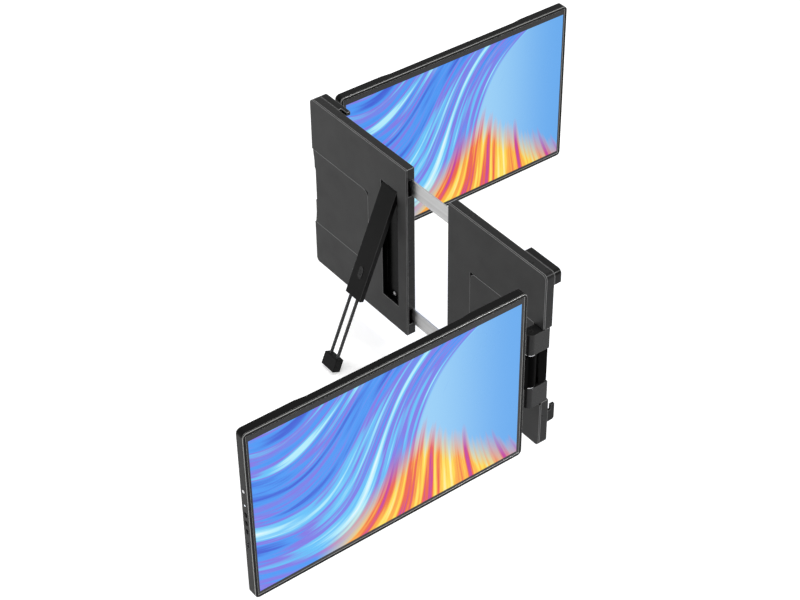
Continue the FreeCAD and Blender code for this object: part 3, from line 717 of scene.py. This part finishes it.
for hook in (j_hook("left_lower_hook_thin", -129.9, "left_half", "left_lower_hook"),
             j_hook("right_lower_hook_thin", 249.9, "right_half", "right_lower_hook")):
    print(hook.name, len(hook.data.polygons), "faces")

# %% [markdown]
# The rubber foot is a block with rounded corners and a sole with ribs, which stop it from slipping. It
# could be sculpted, but a block whose sole is cut into strips, every other one inset, gives even ribs at
# once. The stand's small pieces are drawn hanging straight down from the pin, and `hang` opens them to the
# leg's tilt.

# %% Stand foot
PIN = Vector((7.1, -8.0, 68.8)) * MM
OPEN = Matrix.Rotation(math.radians(-LEG_TILT), 4, "X")
RIB, SOLE_HALF = 2 * MM, 9 * MM


def hang(obj):
    """Turns a straight piece about the pin into its place."""
    settle(obj)
    obj.data.transform(Matrix.Translation(PIN) @ OPEN)


foot = block("stand_foot_ribbed", (0, -0.7, -207.5), (21, 10, 15), foot_rubber)
for step in range(-4, 5):
    cut_across(foot, (step * RIB, 0, 0), (1, 0, 0))
ribs = pick_faces(foot, lambda centre, normal: normal.z < -0.9 and abs(centre.x) < SOLE_HALF
                  and round((centre.x + SOLE_HALF) / MM) // 2 % 2 == 0)
bpy.ops.mesh.inset(thickness=0.3 * MM, use_individual=True)
bpy.ops.transform.translate(value=(0, 0, 1.2 * MM))
leave()
bevelled(foot, 0.9 * MM, segments=3, angle=60)
hang(foot)
finish(foot, "stand_rods", "foot_rubber", "stand_foot")
print("foot ribs:", ribs)

# %% [markdown]
# The release button is an oval cap with three grip ridges. An oval could be drawn as a curve, but a
# cylinder whose upper and lower halves are moved apart keeps its ends round. Its top is inset, and the
# ridges are joined to it.

# %% Release button
BUTTON_DROP, STRETCH = -99, 3.2 * MM
button = disc("stand_button_cap", (0, -2.9, BUTTON_DROP), 3.6, 2.6, 48, button_black)
for vertex in button.data.vertices:
    vertex.co.z += STRETCH if vertex.co.z > BUTTON_DROP * MM else -STRETCH
pick_faces(button, lambda centre, normal: normal.y < -0.9)
bpy.ops.mesh.inset(thickness=0.7 * MM)
bpy.ops.transform.translate(value=(0, 0.4 * MM, 0))
leave()
ridges = []
for step in (-2, 0, 2):
    ridge = block("ridge", (0, -3.85, BUTTON_DROP + step), (3.6, 0.5, 0.7), button_black)
    bevelled(ridge, 0.2 * MM)
    ridges.append(ridge)
alone(button)
for ridge in ridges:
    ridge.select_set(True)
bpy.ops.object.join()
bevelled(button, 0.25 * MM)
hang(button)
finish(button, "stand_button", "leg_plastic", "stand_button")
print("button faces:", len(button.data.polygons))

# %% [markdown]
# The stand's two rods are round and plain, and so are the pins, washers, screws and the pieces inside. They
# could be copied like the shells, but their shapes need no change, so the finish is set on the CAD node.

# %% Finishes for the nodes that stay as they are
KEPT = {
    "stand_rods": rod_black, "stand_pin": bright_steel, "left_hinge_pin": arm_black,
    "right_hinge_pin": arm_black, "left_hinge_washers": bright_steel, "right_hinge_washers": bright_steel,
    "rail_screws": bright_steel, "rail_guides": hook_black, "left_lid_pads": foot_rubber,
    "right_lid_pads": foot_rubber,
}
for side in ("near", "far"):
    KEPT.update({side + "_lcd_module": panel_metal, side + "_main_board": board_green,
                 side + "_usb_socket": bright_steel})
for name, material in KEPT.items():
    repaint(name, material)
print("kept nodes:", len(KEPT))

# %% [markdown]
# The catch in the stand's well is a small bright disc with a cross recess. The recess could be a bump, but
# it catches the light, so two crossed slots are sunk into the disc with a boolean.

# %% Catch in the well
catch = disc("stand_catch_disc", (7.1, -6.0, -70.7), 2.4, 1.2, 40, bright_steel)
for size in ((2.8, 1.0, 0.6), (0.6, 1.0, 2.8)):
    cutter = block("slot_cut", (7.1, -6.6, -70.7), size, bright_steel)
    alone(catch)
    carve = catch.modifiers.new("slot", "BOOLEAN")
    carve.object = cutter
    carve.solver = "EXACT"
    bpy.ops.object.modifier_apply(modifier=carve.name)
    bpy.data.objects.remove(cutter)
bevelled(catch, 0.12 * MM)
finish(catch, "left_half", "steel", "stand_catch")
print("catch faces:", len(catch.data.polygons))

# %% [markdown]
# The keys get soft edges like the shells, and each status light is a small clear lens. A lamp could stand
# behind the lens, but a little emission from its own surface looks the same at this size.

# %% Keys and lights
lens_glow, tree, shader, place = principled("light_lens")
glow = ramp(tree, noise(tree, place, 900.0), [(0.3, (0.65, 0.8, 1.0)), (0.7, (0.9, 0.97, 1.0))])
tree.links.new(glow, shader.inputs["Emission Color"])
shader.inputs["Emission Strength"].default_value = 0.8
for side in ("near", "far"):
    for key in ("key_1", "key_2", "key_3", "power_key"):
        name = side + "_" + key
        # All keys but the power key take the near-black key material, partly painted shade of their pits.
        softened(name, name, "key_plastic", 0.3, bright_steel if key == "power_key" else key_black_and_shade)
    repaint(side + "_status_light", lens_glow)
print("keys ready")

# %% [markdown]
# The floor is a pale plane just under the stand's foot. Lit only by the lamps it would be light grey, and a
# shadeless white one would lose the shadow. So it shines a little, only where the camera or a reflection
# sees it, and the shadow stays on it.

# %% Floor
FLOOR_GAP, FLOOR_GLOW = 0.5 * MM, 0.42
bpy.ops.object.select_all(action="DESELECT")
bpy.ops.mesh.primitive_plane_add(size=14, location=(0, 0, cad_box[0][2] - FLOOR_GAP))
floor = bpy.context.active_object
floor.name = "floor"
settle(floor)
pale, tree, shader, place = principled("pale_floor")
shaded(tree, shader, (0.86, 0.86, 0.86), span(tree, noise(tree, place, 2.0), 0.3, 0.7, 0.99, 1.0))
shader.inputs["Roughness"].default_value = 0.9
shader.inputs["Emission Color"].default_value = (1, 1, 1, 1)
tree.links.new(maths(tree, "MULTIPLY", seen_directly(tree), FLOOR_GLOW), shader.inputs["Emission Strength"])
floor.data.materials.append(pale)
print("floor at", cad_box[0][2] - FLOOR_GAP)

# %% End
print("done")
